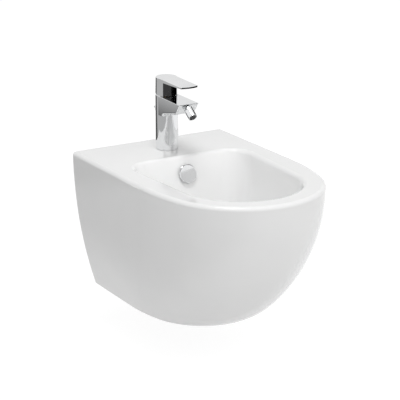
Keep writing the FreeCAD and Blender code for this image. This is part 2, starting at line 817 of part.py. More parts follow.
def cartridge_housing():
    shell = tube(CARTRIDGE_RADIUS, CARTRIDGE_RADIUS - CARTRIDGE_WALL, CARTRIDGE_HEIGHT,
                 tap(0, 0, DISC_LEVEL), UP)
    seat = tube(CARTRIDGE_RADIUS - CARTRIDGE_WALL / 2, DISC_RADIUS, DISC_THICK / 2,
                tap(0, 0, DISC_LEVEL), UP)
    lip = tube(CARTRIDGE_RADIUS - CARTRIDGE_WALL / 2, CARRIER_NECK + LOOSE, CARTRIDGE_LIP,
               tap(0, 0, HOUSING_TOP - CARTRIDGE_LIP), UP)
    return shell.fuse(seat).fuse(lip).removeSplitter()


def cartridge_carrier():
    height = HOUSING_TOP - CARTRIDGE_LIP - LOOSE - CARRIER_LEVEL
    foot = rod(CARTRIDGE_RADIUS - CARTRIDGE_WALL - LOOSE, height, tap(0, 0, CARRIER_LEVEL), UP)
    top = HOUSING_TOP + CARRIER_RISE
    neck = rod(CARRIER_NECK, top - CARRIER_LEVEL, tap(0, 0, CARRIER_LEVEL), UP)
    lean = math.radians(LEVER_TILT)
    half = STEM_SIZE / 2 / math.cos(lean) + LOOSE
    back = half + (top - PIVOT_LEVEL) * math.tan(lean)
    front = half + (PIVOT_LEVEL - CARRIER_LEVEL) * math.tan(lean)
    slot = block(STEM_SIZE + 2 * LOOSE, TAP_REACH - back, TAP_REACH + front, CARRIER_LEVEL, top)
    length = 2 * CARTRIDGE_RADIUS
    pin = rod(STEM_PIN / 2, length, tap(-length / 2, 0, PIVOT_LEVEL), ACROSS)
    return foot.fuse(neck).cut(slot).cut(pin).removeSplitter()


def stem_pin():
    length = 2 * (CARTRIDGE_RADIUS - CARTRIDGE_WALL - 4 * LOOSE)
    return rod(STEM_PIN / 2, length, tap(-length / 2, 0, PIVOT_LEVEL), ACROSS)


def lever_stem():
    top = LEVER_LEVEL + STEM_RISE
    foot = PIVOT_LEVEL - STEM_SIZE / 2
    half = STEM_SIZE / 2
    shank = block(STEM_SIZE, TAP_REACH - half, TAP_REACH + half, foot, top)
    finger = rod(STEM_FINGER, PIVOT_LEVEL - STEM_BALL_LEVEL, tap(0, 0, STEM_BALL_LEVEL), UP)
    ball = Part.makeSphere(STEM_BALL, tap(0, 0, STEM_BALL_LEVEL))
    pin = rod(STEM_PIN / 2 + FIT, 2 * STEM_SIZE, tap(-STEM_SIZE, 0, PIVOT_LEVEL), ACROSS)
    return shank.fuse(finger).fuse(ball).cut(pin).removeSplitter()


def cartridge_nut():
    ring = tube(POCKET_RADIUS - FIT, CARRIER_NECK + LOOSE, CARTRIDGE_NUT, tap(0, 0, HOUSING_TOP), UP)
    width = 2 * COLUMN_NECK
    slot = block(width, TAP_REACH - NUT_SLOT / 2, TAP_REACH + NUT_SLOT / 2,
                 HOUSING_TOP + CARTRIDGE_NUT / 2, HOUSING_TOP + CARTRIDGE_NUT)
    return ring.cut(slot)


# Lever

def lever_surface(forward):
    """The level of the lever's flat top, which falls a little towards its tip."""
    return LEVER_TOP - LEVER_FALL * forward / LEVER_REACH


def lever_handle():
    half = LEVER_WIDTH / 2
    tip_half = LEVER_TIP_WIDTH / 2
    tip = LEVER_REACH - LEVER_TIP_BOW
    level = LEVER_TOP - 3 * LEVER_ROOT_THICK
    right = tap(tip_half, tip, level)
    left = tap(-tip_half, tip, level)
    outline = Part.Wire([
        Part.LineSegment(tap(-half, 0, level), tap(half, 0, level)).toShape(),
        Part.LineSegment(tap(half, 0, level), right).toShape(),
        Part.Arc(right, tap(0, LEVER_REACH, level), left).toShape(),
        Part.LineSegment(left, tap(-half, 0, level)).toShape(),
    ])
    plate = Part.Face(outline).extrude(UP * 4 * LEVER_ROOT_THICK)
    corners = [edge for edge in plate.Edges
               if edge.BoundBox.ZLength > LEVER_ROOT_THICK and edge.BoundBox.YMax < -TAP_REACH - half]
    plate = plate.makeFillet(LEVER_CORNER, corners)
    beyond = 2 * LEVER_REACH
    under = polygon_sides([
        (-beyond, LEVER_LEVEL - beyond),
        (beyond, LEVER_LEVEL - beyond),
        (beyond, lever_surface(beyond) - LEVER_TIP_THICK),
        (LEVER_REACH, lever_surface(LEVER_REACH) - LEVER_TIP_THICK),
        (0, lever_surface(0) - LEVER_ROOT_THICK),
        (-beyond, lever_surface(0) - LEVER_ROOT_THICK),
    ])
    plate = plate.cut(across(under, beyond))
    hub_height = lever_surface(-LEVER_WIDTH) - LEVER_LEVEL
    hub = Part.makeCone(COLUMN_NECK / 2, HUB_CROWN / 2, hub_height, tap(0, 0, LEVER_LEVEL), UP)
    above = polygon_sides([
        (-beyond, lever_surface(-beyond)),
        (beyond, lever_surface(beyond)),
        (beyond, LEVER_TOP + beyond),
        (-beyond, LEVER_TOP + beyond),
    ])
    handle = hub.fuse(plate).cut(across(above, beyond)).removeSplitter()
    top_face = max(handle.Faces, key=lambda face: face.CenterOfMass.z)
    handle = handle.makeFillet(LEVER_EDGE, top_face.Edges)

    rise = COLUMN_NECK * math.tan(math.radians(LEVER_TILT))
    bevel = polygon_sides([(0, LEVER_LEVEL), (-COLUMN_NECK, LEVER_LEVEL), (-COLUMN_NECK, LEVER_LEVEL + rise)])
    roof = LEVER_TOP - HUB_ROOF
    socket = STEM_SIZE / 2 + FIT
    grub_start = tap(0, -STEM_SIZE / 2, grub_level())
    cuts = [
        across(bevel, 2 * COLUMN_NECK),
        rod(COLUMN_NECK / 2 - LEVER_WALL, roof - LEVER_LEVEL, tap(0, 0, LEVER_LEVEL), UP),
        block(2 * socket, TAP_REACH - socket, TAP_REACH + socket, roof - FIT, LEVER_LEVEL + STEM_RISE),
        rod(GRUB_RADIUS + FIT, COLUMN_NECK, grub_start, TO_WALL),
        rod(CAP_RADIUS + FIT, COLUMN_NECK, cap_start(), TO_WALL),
    ]
    for cut in cuts:
        handle = handle.cut(cut)
    return handle


def grub_level():
    """The grub screw bears on the middle of the stem's upper end."""
    return (LEVER_TOP - HUB_ROOF + LEVER_LEVEL + STEM_RISE) / 2


def hub_radius(level):
    """The outside of the lever's hub at a level."""
    share = (level - LEVER_LEVEL) / (lever_surface(-LEVER_WIDTH) - LEVER_LEVEL)
    return (COLUMN_NECK + (HUB_CROWN - COLUMN_NECK) * share) / 2


def cap_start():
    return tap(0, CAP_THICK - hub_radius(grub_level()), grub_level())


def lever_grub_screw():
    return rod(GRUB_RADIUS, GRUB_LENGTH, tap(0, -STEM_SIZE / 2, grub_level()), TO_WALL)


def lever_cap():
    cap = rod(CAP_RADIUS, 2 * CAP_THICK, cap_start(), TO_WALL)
    flush = rod(hub_radius(grub_level()), 4 * CAP_RADIUS, tap(0, 0, grub_level() - 2 * CAP_RADIUS), UP)
    return cap.common(flush)


# Swivelling nozzle

def along_nozzle(distance):
    return nozzle_centre() + nozzle_axis() * distance


def nozzle_ball():
    centre = nozzle_centre()
    shank = rod(SHANK_RADIUS, SHANK_LENGTH, along_nozzle(-BALL_STANDOFF), -nozzle_axis())
    neck = rod(NECK_RADIUS, BALL_STANDOFF, along_nozzle(-BALL_STANDOFF), nozzle_axis())
    ball = Part.makeSphere(BALL_RADIUS, centre)
    length = SHANK_LENGTH + BALL_STANDOFF + BALL_RADIUS
    bore = rod(BALL_BORE, 2 * length, along_nozzle(-length), nozzle_axis())
    return ball.fuse(neck).fuse(shank).cut(bore).removeSplitter()


def nozzle_gland():
    ring = rod(GLAND_RADIUS, GLAND_LENGTH, along_nozzle(-NOZZLE_BACK), nozzle_axis())
    return ring.cut(Part.makeSphere(BALL_RADIUS + LOOSE, nozzle_centre()))


def nozzle_seat():
    start = along_nozzle(GLAND_LENGTH - NOZZLE_BACK + LOOSE)
    ring = tube(GLAND_RADIUS - LOOSE, BALL_BORE + LOOSE, SEAT_RING, start, nozzle_axis())
    return ring.cut(Part.makeSphere(BALL_RADIUS + LOOSE, nozzle_centre()))


def nozzle_body():
    start = along_nozzle(-NOZZLE_BACK)
    sleeve = rod(NOZZLE_RADIUS, NOZZLE_LENGTH, start, nozzle_axis())
    ends = [edge for edge in sleeve.Edges if edge.Closed]
    ends.sort(key=lambda edge: (edge.CenterOfMass - start).Length)
    sleeve = sleeve.makeFillet(NOZZLE_EDGE, ends[:1])
    chamber = GLAND_LENGTH + SEAT_RING + 2 * LOOSE
    sleeve = sleeve.cut(rod(GLAND_RADIUS, chamber, start, nozzle_axis()))
    sleeve = sleeve.cut(rod(WATERWAY / 2, NOZZLE_LENGTH, start, nozzle_axis()))
    mouth = start + nozzle_axis() * (NOZZLE_LENGTH - INSERT_SINK - INSERT_THICK)
    return sleeve.cut(rod(NOZZLE_RADIUS - NOZZLE_WALL, NOZZLE_LENGTH, mouth, nozzle_axis()))


def aerator_insert():
    start = along_nozzle(NOZZLE_LENGTH - NOZZLE_BACK - INSERT_SINK)
    outer = NOZZLE_RADIUS - NOZZLE_WALL - FIT
    insert = rod(outer, INSERT_THICK, start, -nozzle_axis())
    holes = [(0, 0)]
    for step in range(INSERT_HOLES):
        holes.append((outer / 2, 2 * math.pi * step / INSERT_HOLES))
    for radius, angle in holes:
        hole = rod(INSERT_HOLE / 2, INSERT_THICK,
                   FreeCAD.Vector(radius * math.cos(angle), radius * math.sin(angle), 0), UP)
        insert = insert.cut(placed(hole, start, -nozzle_axis()))
    return insert


# Lift rod, knob and strap

def pivot_point():
    """The middle of the ball lever's ball, beside the waste."""
    return spot(0, WASTE_REACH - PIVOT_ARM, -BOWL_DEPTH - PIVOT_DROP)


def strap_point():
    """Where the ball lever passes through the strap while the lift rod is down."""
    return rod_point(-BOWL_DEPTH - PIVOT_DROP - STRAP_DROP)


def arm_angle(lift):
    """The ball lever's slope towards the strap once the lift rod is up by lift."""
    arm = strap_point() + rod_axis() * lift - pivot_point()
    return math.atan2(arm.z, arm.y)


def plug_travel():
    return PIVOT_ARM * (math.tan(arm_angle(ROD_TRAVEL)) - math.tan(arm_angle(0)))


def strap_block_foot():
    """How far up the lift rod from the strap's used hole the clamping block starts."""
    return STRAP_PITCH * (STRAP_HOLES - 2) + STRAP_HOLE


def lift_rod():
    foot = strap_point() + rod_axis() * strap_block_foot()
    return rod(ROD_RADIUS, (rod_point(KNOB_LEVEL) - foot).Length + KNOB_LENGTH / 2, foot, rod_axis())


def lift_knob():
    start = rod_point(KNOB_LEVEL)
    knob = turned([
        (0, 0),
        (KNOB_FOOT, 0),
        (KNOB_WAIST, KNOB_LENGTH - 3 * KNOB_BAND),
        (KNOB_RADIUS, KNOB_LENGTH - 3 * KNOB_BAND / 2),
        (KNOB_RADIUS, KNOB_LENGTH - KNOB_BAND / 2),
        (KNOB_FOOT, KNOB_LENGTH),
        (0, KNOB_LENGTH),
    ], start, rod_axis())
    return knob.cut(rod(ROD_RADIUS, KNOB_LENGTH / 2, start, rod_axis()))


def rod_guide():
    return tube(GUIDE_RADIUS, ROD_RADIUS + FIT, GUIDE_LENGTH, guide_start(), rod_axis())


def lift_strap():
    foot = strap_block_foot()
    low = STRAP_PITCH + STRAP_HOLE
    half = STRAP_WIDTH / 2
    plate = Part.makeBox(STRAP_WIDTH, STRAP_THICK, low + foot + STRAP_BLOCK / 2,
                         FreeCAD.Vector(-half, -STRAP_THICK / 2, -low))
    head = Part.makeBox(STRAP_WIDTH, STRAP_BLOCK_DEPTH, STRAP_BLOCK,
                        FreeCAD.Vector(-half, -STRAP_BLOCK_DEPTH / 2, foot))
    strap = plate.fuse(head)
    for step in range(STRAP_HOLES):
        centre = FreeCAD.Vector(0, -STRAP_BLOCK_DEPTH, STRAP_PITCH * (step - 1))
        strap = strap.cut(rod(STRAP_HOLE / 2, 2 * STRAP_BLOCK_DEPTH, centre, TO_WALL))
    strap = strap.cut(rod(ROD_RADIUS + FIT, STRAP_BLOCK, FreeCAD.Vector(0, 0, foot), UP))
    screw = FreeCAD.Vector(0, 0, foot + STRAP_BLOCK / 2)
    strap = strap.cut(rod(STRAP_SCREW_RADIUS + FIT, STRAP_BLOCK_DEPTH, screw, TO_WALL))
    return placed(strap.removeSplitter(), strap_point(), rod_axis())


def strap_screw():
    level = strap_block_foot() + STRAP_BLOCK / 2
    reach = STRAP_BLOCK_DEPTH / 2
    shank = rod(STRAP_SCREW_RADIUS, reach - ROD_RADIUS, FreeCAD.Vector(0, ROD_RADIUS, level), TO_WALL)
    head = rod(STRAP_SCREW_HEAD, STRAP_SCREW_RADIUS * 2, FreeCAD.Vector(0, reach, level), TO_WALL)
    return placed(shank.fuse(head).removeSplitter(), strap_point(), rod_axis())


# Pop-up waste

FLANGE_LEVEL = UPPER_SEAL - BOWL_DEPTH - WASTE_RECESS
TUBE_END = FLANGE_LEVEL - WASTE_TUBE_LENGTH
BOSS_LEVEL = -BOWL_DEPTH - WASTE_BOSS_DEPTH


def waste(level):
    return spot(0, WASTE_REACH, level)


def upper_seal():
    return tube(FLANGE_RADIUS - LOOSE, WASTE_TUBE_RADIUS + FIT, UPPER_SEAL, waste(FLANGE_LEVEL), DOWN)


def waste_flange():
    bore = WASTE_BORE / 2
    flange = turned([
        (bore, -WASTE_TUBE_LENGTH),
        (WASTE_TUBE_RADIUS, -WASTE_TUBE_LENGTH),
        (WASTE_TUBE_RADIUS, 0),
        (FLANGE_RADIUS, 0),
        (FLANGE_RADIUS, FLANGE_THICK / 3),
        (FLANGE_RADIUS - FLANGE_THICK, FLANGE_THICK),
        (FLANGE_RADIUS - 2 * FLANGE_THICK, FLANGE_THICK),
        (bore + FLANGE_THICK, FLANGE_THICK / 3),
        (bore, -FLANGE_THICK),
    ], waste(FLANGE_LEVEL), UP)
    half = (DUCT_THICK - FLANGE_THICK) / 2
    middle = -BOWL_DEPTH - WASTE_BOSS_DEPTH / 2
    slot = block(SLOT_WIDTH, WASTE_REACH - 2 * bore, WASTE_REACH + 2 * bore, middle - half, middle + half)
    return flange.cut(slot)


def lower_seal():
    return tube(BACKNUT_FLATS / 2, WASTE_TUBE_RADIUS + FIT, LOWER_SEAL, waste(BOSS_LEVEL), DOWN)


def waste_backnut():
    start = waste(BOSS_LEVEL - LOWER_SEAL)
    nut = hexagon(BACKNUT_FLATS, BACKNUT_HEIGHT, start, DOWN)
    return nut.cut(rod(WASTE_TUBE_RADIUS + FIT, BACKNUT_HEIGHT, start, DOWN))


def pivot_place(distance):
    """A point on the side socket's axis, at a distance from the waste's axis."""
    return spot(0, WASTE_REACH - distance, -BOWL_DEPTH - PIVOT_DROP)


def waste_body():
    bore = WASTE_BORE / 2
    cup = WASTE_TUBE_RADIUS + FIT
    outside = turned([
        (0, CUP_LENGTH),
        (cup + CUP_WALL, CUP_LENGTH),
        (cup + CUP_WALL, 0),
        (bore + CHAMBER_WALL, -CUP_WALL),
        (bore + CHAMBER_WALL, -CHAMBER_LENGTH),
        (TAIL_RADIUS, -CHAMBER_LENGTH - TAIL_CONE),
        (TAIL_RADIUS, -CHAMBER_LENGTH - TAIL_CONE - TAIL_LENGTH),
        (0, -CHAMBER_LENGTH - TAIL_CONE - TAIL_LENGTH),
    ], waste(TUBE_END), UP)
    inside = turned([
        (0, CUP_LENGTH),
        (cup, CUP_LENGTH),
        (cup, 0),
        (bore, 0),
        (bore, -CHAMBER_LENGTH),
        (TAIL_RADIUS - TAIL_WALL, -CHAMBER_LENGTH - TAIL_CONE),
        (TAIL_RADIUS - TAIL_WALL, -CHAMBER_LENGTH - TAIL_CONE - TAIL_LENGTH),
        (0, -CHAMBER_LENGTH - TAIL_CONE - TAIL_LENGTH),
    ], waste(TUBE_END), UP)
    socket = rod(SOCKET_OUTER, PIVOT_ARM + BALL_HOLD, pivot_place(0), TO_WALL)
    body = outside.fuse(socket).cut(inside)
    seat = PIVOT_ARM - BALL_HOLD - SEAT_LENGTH
    body = body.cut(rod(LEVER_BALL + LOOSE, PIVOT_ARM, pivot_place(seat), TO_WALL))
    return body.cut(rod(SWING_RADIUS, PIVOT_ARM, pivot_place(0), TO_WALL)).removeSplitter()


def ball_seat():
    start = pivot_place(PIVOT_ARM - BALL_HOLD)
    ring = tube(LEVER_BALL + LOOSE - FIT, SWING_RADIUS, SEAT_LENGTH, start, -TO_WALL)
    return ring.cut(Part.makeSphere(LEVER_BALL + LOOSE, pivot_point()))


def ball_cap_nut():
    end = PIVOT_ARM + BALL_HOLD
    skirt = tube(CAP_NUT_RADIUS, SOCKET_OUTER + FIT, CAP_NUT_LAP, pivot_place(end), -TO_WALL)
    plate = rod(CAP_NUT_RADIUS, CAP_NUT_PLATE, pivot_place(end), TO_WALL)
    nut = skirt.fuse(plate).cut(rod(SWING_RADIUS, 2 * CAP_NUT_PLATE, pivot_place(end), TO_WALL))
    return nut.cut(Part.makeSphere(LEVER_BALL + LOOSE, pivot_point())).removeSplitter()


def ball_lever():
    pivot = pivot_point()
    way = (strap_point() - pivot).normalize()
    inner = PIVOT_ARM / way.y + INNER_OVERRUN
    outer = (strap_point() - pivot).Length + OUTER_OVERRUN
    bar = rod(ROD_RADIUS, inner + outer, pivot - way * inner, way)
    return bar.fuse(Part.makeSphere(LEVER_BALL, pivot)).removeSplitter()


def plug_level():
    """The underside of the plug's head at rest, with the waste open."""
    return FLANGE_LEVEL + FLANGE_THICK + PLUG_GAP + plug_travel()


def stem_foot():
    """The plug's stem rests on the ball lever's inner end."""
    way = arm_angle(0)
    top = ROD_RADIUS / math.cos(way) - (PIVOT_ARM + PLUG_STEM) * math.tan(way)
    return -BOWL_DEPTH - PIVOT_DROP + top + LOOSE


def waste_plug():
    level = plug_level()
    head = rod(PLUG_RADIUS, PLUG_THICK, waste(level), UP)
    head = head.makeFillet(PLUG_THICK / 2, edges_at_level(head, level + PLUG_THICK))
    neck = rod(PLUG_NECK, 3 * PLUG_SEAL, waste(level), DOWN)
    stem = rod(PLUG_STEM, level - stem_foot(), waste(level), DOWN)
    plug = head.fuse(neck).fuse(stem)
    span = WASTE_BORE - 2 * LOOSE
    low = level - 3 * PLUG_SEAL - PLUG_FIN_LENGTH
    half = PLUG_FIN / 2
    plug = plug.fuse(block(span, WASTE_REACH - half, WASTE_REACH + half, low, level - 3 * PLUG_SEAL))
    fin = block(PLUG_FIN, WASTE_REACH - span / 2, WASTE_REACH + span / 2, low, level - 3 * PLUG_SEAL)
    guide = rod(span / 2, 2 * PLUG_FIN_LENGTH, waste(level), DOWN)
    return plug.fuse(fin.common(guide)).removeSplitter()


def plug_seal():
    return Part.makeTorus(PLUG_NECK + PLUG_SEAL, PLUG_SEAL, waste(plug_level() - PLUG_SEAL), UP)


CERAMIC_RIM, CERAMIC_BOWL, CERAMIC_SHELL = ceramic_castings()

PIECES = {
    "ceramic_rim": CERAMIC_RIM,
    "ceramic_bowl": CERAMIC_BOWL,
    "ceramic_shell": CERAMIC_SHELL,
    "wall_sleeves": both_fixings(wall_sleeve),
    "wall_washers": both_fixings(wall_washer),
    "wall_nuts": both_fixings(wall_nut),
    "overflow_cover": overflow_cover(),
    "mixer_body": mixer_body(),
    "base_gasket": base_gasket(),
    "clamp_gasket": clamp_gasket(),
    "clamp_plate": clamp_plate(),
    "fixing_nut": fixing_nut(),
    "fixing_stud": fixing_stud(),
    "cartridge_seal": cartridge_seal(),
    "cartridge_base": cartridge_base(),
    "fixed_disc": fixed_disc(),
    "moving_disc": moving_disc(),
    "cartridge_housing": cartridge_housing(),
    "cartridge_carrier": cartridge_carrier(),
    "stem_pin": stem_pin(),
    "lever_stem": lever_stem(),
    "cartridge_nut": cartridge_nut(),
    "lever_handle": lever_handle(),
    "lever_grub_screw": lever_grub_screw(),
    "lever_cap": lever_cap(),
    "nozzle_ball": nozzle_ball(),
    "nozzle_gland": nozzle_gland(),
    "nozzle_seat": nozzle_seat(),
    "nozzle_body": nozzle_body(),
    "aerator_insert": aerator_insert(),
    "lift_rod": lift_rod(),
    "lift_knob": lift_knob(),
    "rod_guide": rod_guide(),
    "lift_strap": lift_strap(),
    "strap_screw": strap_screw(),
    "upper_seal": upper_seal(),
    "waste_flange": waste_flange(),
    "lower_seal": lower_seal(),
    "waste_backnut": waste_backnut(),
    "waste_body": waste_body(),
    "ball_seat": ball_seat(),
    "ball_cap_nut": ball_cap_nut(),
    "ball_lever": ball_lever(),
    "waste_plug": waste_plug(),
    "plug_seal": plug_seal(),
}

os.makedirs("parts", exist_ok=True)
for name, shape in PIECES.items():
    shape.exportStep("parts/" + name + ".step")
    print(name, "solids", len(shape.Solids), "volume", round(shape.Volume), "valid", shape.isValid())
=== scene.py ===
import math

import bmesh
import bpy
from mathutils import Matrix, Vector

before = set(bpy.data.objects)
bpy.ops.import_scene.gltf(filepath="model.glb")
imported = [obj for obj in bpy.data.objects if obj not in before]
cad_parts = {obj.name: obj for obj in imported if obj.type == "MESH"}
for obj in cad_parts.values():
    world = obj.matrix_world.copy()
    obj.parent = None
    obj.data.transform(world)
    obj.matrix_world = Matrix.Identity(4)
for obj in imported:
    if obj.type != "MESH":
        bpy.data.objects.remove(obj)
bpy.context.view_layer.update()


# Ceramic body
# Rim, bowl and shell are slip-cast in vitreous china, luted together while damp and fired as one.
# The thick white glaze pools softly over every edge, so it shines all over with a faint ripple.

def new_finish(name):
    """A material with a bare principled shader, and the tree it sits in."""
    finish = bpy.data.materials.new(name)
    finish.use_nodes = True
    tree = finish.node_tree
    shader = tree.nodes["Principled BSDF"]
    return finish, tree, shader


def noise(tree, cells, detail=2.0):
    """A noise pattern fixed to the piece, in cells per metre."""
    place = tree.nodes.new("ShaderNodeTexCoord")
    pattern = tree.nodes.new("ShaderNodeTexNoise")
    pattern.inputs["Scale"].default_value = cells
    pattern.inputs["Detail"].default_value = detail
    tree.links.new(place.outputs["Object"], pattern.inputs["Vector"])
    return pattern.outputs["Fac"]


# Most of a noise pattern lies between these two values.
pattern_low = 0.3
pattern_high = 0.7


def rough(tree, pattern, shader, low, high):
    """Let a pattern move the roughness between two values."""
    span = tree.nodes.new("ShaderNodeMapRange")
    span.inputs["From Min"].default_value = pattern_low
    span.inputs["From Max"].default_value = pattern_high
    span.inputs["To Min"].default_value = low
    span.inputs["To Max"].default_value = high
    tree.links.new(pattern, span.inputs["Value"])
    tree.links.new(span.outputs["Result"], shader.inputs["Roughness"])


def tint(tree, pattern, shader, dark, light):
    """Let a pattern move the base colour between two colours."""
    ramp = tree.nodes.new("ShaderNodeValToRGB")
    first, last = ramp.color_ramp.elements
    first.position = pattern_low
    first.color = (*dark, 1.0)
    last.position = pattern_high
    last.color = (*light, 1.0)
    tree.links.new(pattern, ramp.inputs["Fac"])
    tree.links.new(ramp.outputs["Color"], shader.inputs["Base Color"])


def ripple(tree, pattern, shader, height):
    """Let a pattern raise and lower the surface by a height in metres."""
    bump = tree.nodes.new("ShaderNodeBump")
    bump.inputs["Strength"].default_value = 1.0
    bump.inputs["Distance"].default_value = height
    tree.links.new(pattern, bump.inputs["Height"])
    tree.links.new(bump.outputs["Normal"], shader.inputs["Normal"])


def wear(nodes, finish):
    """Give each of these CAD nodes one finish."""
    for name in nodes:
        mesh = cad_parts[name].data
        mesh.materials.clear()
        mesh.materials.append(finish)


white_glaze, tree, shader = new_finish("white_glaze")
tint(tree, noise(tree, cells=7.0), shader, dark=(0.875, 0.877, 0.876), light=(0.9, 0.9, 0.898))
rough(tree, noise(tree, cells=24.0), shader, low=0.03, high=0.055)
ripple(tree, noise(tree, cells=45.0, detail=1.0), shader, height=0.00005)
shader.inputs["IOR"].default_value = 1.45
shader.inputs["Coat Weight"].default_value = 0.12
shader.inputs["Coat Roughness"].default_value = 0.03
wear(["ceramic_rim", "ceramic_bowl", "ceramic_shell"], white_glaze)


# Wall fixings
# Moulded plastic sleeves keep the studs off the china. Zinc plated washers and nuts
# pull the body against the wall.

sleeve_plastic, tree, shader = new_finish("sleeve_plastic")
tint(tree, noise(tree, cells=60.0), shader, dark=(0.76, 0.76, 0.75), light=(0.82, 0.82, 0.81))
rough(tree, noise(tree, cells=300.0), shader, low=0.38, high=0.5)
ripple(tree, noise(tree, cells=900.0), shader, height=0.00002)
wear(["wall_sleeves"], sleeve_plastic)

zinc_plate, tree, shader = new_finish("zinc_plate")
tint(tree, noise(tree, cells=120.0, detail=4.0), shader,
     dark=(0.52, 0.53, 0.55), light=(0.66, 0.67, 0.68))
rough(tree, noise(tree, cells=500.0), shader, low=0.24, high=0.38)
shader.inputs["Metallic"].default_value = 1.0
wear(["wall_washers", "wall_nuts"], zinc_plate)


# Overflow cover
# A pressed brass disc, chrome plated, that clips into the hole of the bowl's rear wall.
# It stands off the china so that water runs in behind its edge.

bright_chrome, tree, shader = new_finish("bright_chrome")
tint(tree, noise(tree, cells=18.0), shader, dark=(0.77, 0.78, 0.79), light=(0.83, 0.835, 0.84))
rough(tree, noise(tree, cells=90.0, detail=3.0), shader, low=0.035, high=0.075)
shader.inputs["Metallic"].default_value = 1.0
wear(["overflow_cover"], bright_chrome)


# Mixer body
# Cast brass column and spout in one, ground, polished and chrome plated.
# A rubber ring in its foot seals it on the deck.

wear(["mixer_body"], bright_chrome)

black_rubber, tree, shader = new_finish("black_rubber")
tint(tree, noise(tree, cells=200.0, detail=3.0), shader,
     dark=(0.018, 0.018, 0.019), light=(0.035, 0.035, 0.036))
rough(tree, noise(tree, cells=600.0), shader, low=0.55, high=0.7)
ripple(tree, noise(tree, cells=1500.0), shader, height=0.00003)
wear(["base_gasket"], black_rubber)


# Mixer fixing below the deck
# A threaded steel stud hangs from the mixer's foot. A horseshoe plate with a rubber on it
# is drawn up against the underside of the deck by a long nut, all zinc plated.

wear(["clamp_gasket"], black_rubber)
wear(["clamp_plate", "fixing_nut", "fixing_stud"], zinc_plate)


# Cartridge
# A moulded housing with two lapped ceramic discs. A brass stem on a steel pin slides the upper one.
# A plated ring nut holds the housing down on its rubber seal in the column.

wear(["cartridge_seal"], black_rubber)

moulded_grey, tree, shader = new_finish("moulded_grey")
tint(tree, noise(tree, cells=80.0), shader, dark=(0.5, 0.5, 0.49), light=(0.56, 0.56, 0.55))
rough(tree, noise(tree, cells=350.0), shader, low=0.35, high=0.5)
wear(["cartridge_base", "cartridge_housing", "cartridge_carrier"], moulded_grey)

lapped_ceramic, tree, shader = new_finish("lapped_ceramic")
tint(tree, noise(tree, cells=150.0), shader, dark=(0.72, 0.7, 0.65), light=(0.78, 0.76, 0.71))
rough(tree, noise(tree, cells=400.0), shader, low=0.2, high=0.3)
wear(["fixed_disc", "moving_disc"], lapped_ceramic)

turned_brass, tree, shader = new_finish("turned_brass")
tint(tree, noise(tree, cells=140.0, detail=3.0), shader,
     dark=(0.58, 0.43, 0.2), light=(0.7, 0.53, 0.27))
rough(tree, noise(tree, cells=700.0), shader, low=0.22, high=0.36)
shader.inputs["Metallic"].default_value = 1.0
wear(["lever_stem"], turned_brass)
wear(["stem_pin", "cartridge_nut"], zinc_plate)


# Lever
# A die-cast handle, polished and chrome plated, held on the stem by a grub screw
# that hides under a small plastic cap.

wear(["lever_handle"], bright_chrome)
wear(["lever_grub_screw"], zinc_plate)

cap_plastic, tree, shader = new_finish("cap_plastic")
tint(tree, noise(tree, cells=250.0), shader, dark=(0.3, 0.3, 0.31), light=(0.36, 0.36, 0.37))
rough(tree, noise(tree, cells=500.0), shader, low=0.2, high=0.32)
wear(["lever_cap"], cap_plastic)


# Swivelling nozzle
# A chromed sleeve and gland ring close round a brass ball, chromed as well, with a plastic seat
# in front of it. The dark moulded insert in the sleeve's mouth aerates the jet.

wear(["nozzle_body", "nozzle_gland", "nozzle_ball"], bright_chrome)
wear(["nozzle_seat"], sleeve_plastic)

insert_plastic, tree, shader = new_finish("insert_plastic")
tint(tree, noise(tree, cells=400.0), shader, dark=(0.03, 0.03, 0.033), light=(0.06, 0.06, 0.064))
rough(tree, noise(tree, cells=900.0), shader, low=0.35, high=0.5)
wear(["aerator_insert"], insert_plastic)


# Lift rod
# A chromed rod with a turned knob, sliding in a plastic guide of the column.
# A zinc plated strap with a row of holes is clamped to its lower end by a screw.

wear(["lift_rod", "lift_knob"], bright_chrome)
wear(["rod_guide"], sleeve_plastic)
wear(["lift_strap", "strap_screw"], zinc_plate)


# Pop-up waste
# A chromed flange and plug in the bowl, screwed to a moulded body between two rubber seals.
# The zinc plated ball lever pivots in a plastic seat under a cap nut.

wear(["waste_flange", "waste_plug"], bright_chrome)
wear(["upper_seal", "lower_seal", "plug_seal"], black_rubber)
wear(["ball_lever"], zinc_plate)
wear(["ball_seat"], sleeve_plastic)

pipe_plastic, tree, shader = new_finish("pipe_plastic")
tint(tree, noise(tree, cells=50.0), shader, dark=(0.68, 0.68, 0.67), light=(0.74, 0.74, 0.73))
rough(tree, noise(tree, cells=260.0), shader, low=0.3, high=0.42)
wear(["waste_backnut", "waste_body", "ball_cap_nut"], pipe_plastic)


# Floor
# A plain pale studio floor under the place where the bidet hangs.
# It looks white to the camera and to the chrome, and keeps a soft shadow.

def seen_or_mirrored(tree):
    """One for rays from the camera, off shiny surfaces or through glass, and zero for the rest."""
    path = tree.nodes.new("ShaderNodeLightPath")
    shiny = tree.nodes.new("ShaderNodeMath")
    shiny.operation = "MAXIMUM"
    either = tree.nodes.new("ShaderNodeMath")
    either.operation = "MAXIMUM"
    tree.links.new(path.outputs["Is Glossy Ray"], shiny.inputs[0])
    tree.links.new(path.outputs["Is Transmission Ray"], shiny.inputs[1])
    tree.links.new(path.outputs["Is Camera Ray"], either.inputs[0])
    tree.links.new(shiny.outputs["Value"], either.inputs[1])
    return either.outputs["Value"]


def flat_sheet(name, half):
    """A square mesh of one face, flat on the origin."""
    sheet = bmesh.new()
    bmesh.ops.create_grid(sheet, x_segments=1, y_segments=1, size=half)
    mesh = bpy.data.meshes.new(name)
    sheet.to_mesh(mesh)
    sheet.free()
    return mesh


floor_level = -0.32
floor_size = 40.0
floor_grey = 0.22
floor_glow = 0.9
floor_bounce = 0.66

